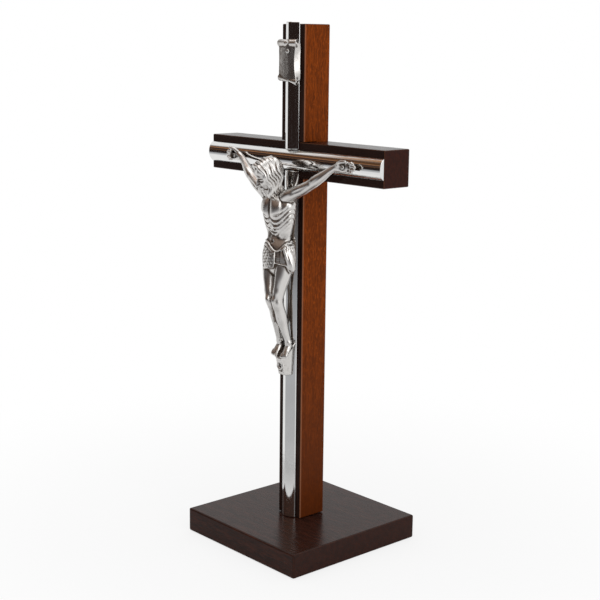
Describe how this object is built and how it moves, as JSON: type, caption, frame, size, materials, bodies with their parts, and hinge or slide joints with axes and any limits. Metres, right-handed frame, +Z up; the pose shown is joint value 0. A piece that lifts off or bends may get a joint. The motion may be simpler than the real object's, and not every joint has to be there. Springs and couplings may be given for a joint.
{
  "type": "standing cross",
  "caption": "Standing wooden cross on a square base, with half-round metal strips, a cast figure on a footrest and a title scroll.",
  "frame": {"origin": "centre of the base's underside, on the surface it stands on", "axes": "+Z up along the upright, front towards -Y, +X to the right of someone who faces the front"},
  "size_m": [0.1234, 0.0812, 0.2559],
  "materials": {
    "base_lacquer": "dark walnut stain under satin lacquer",
    "upright_wood": "reddish-brown wood, semi-gloss",
    "crossbar_wood": "dark reddish-brown wood, semi-gloss",
    "polished_strip": "polished half-round bar, nickel plated",
    "cast_figure": "cast metal, silver coloured, polished with darker hollows",
    "cast_scroll": "cast metal, silver coloured, finely fluted",
    "nail_steel": "small bright nails with domed heads",
    "zinc_screw": "zinc plated countersunk screw"
  },
  "bodies": {
    "root": {"base_plate": "base_lacquer", "base_screw": "zinc_screw", "corpus": "cast_figure", "crossbar": "crossbar_wood", "crossbar_strip": "polished_strip", "foot_nail": "nail_steel", "hand_nail_left": "nail_steel", "hand_nail_right": "nail_steel", "title_nail": "nail_steel", "title_scroll": "cast_scroll", "upright": "upright_wood", "upright_strip_bottom": "polished_strip", "upright_strip_top": "polished_strip"}
  },
  "joints": []
}
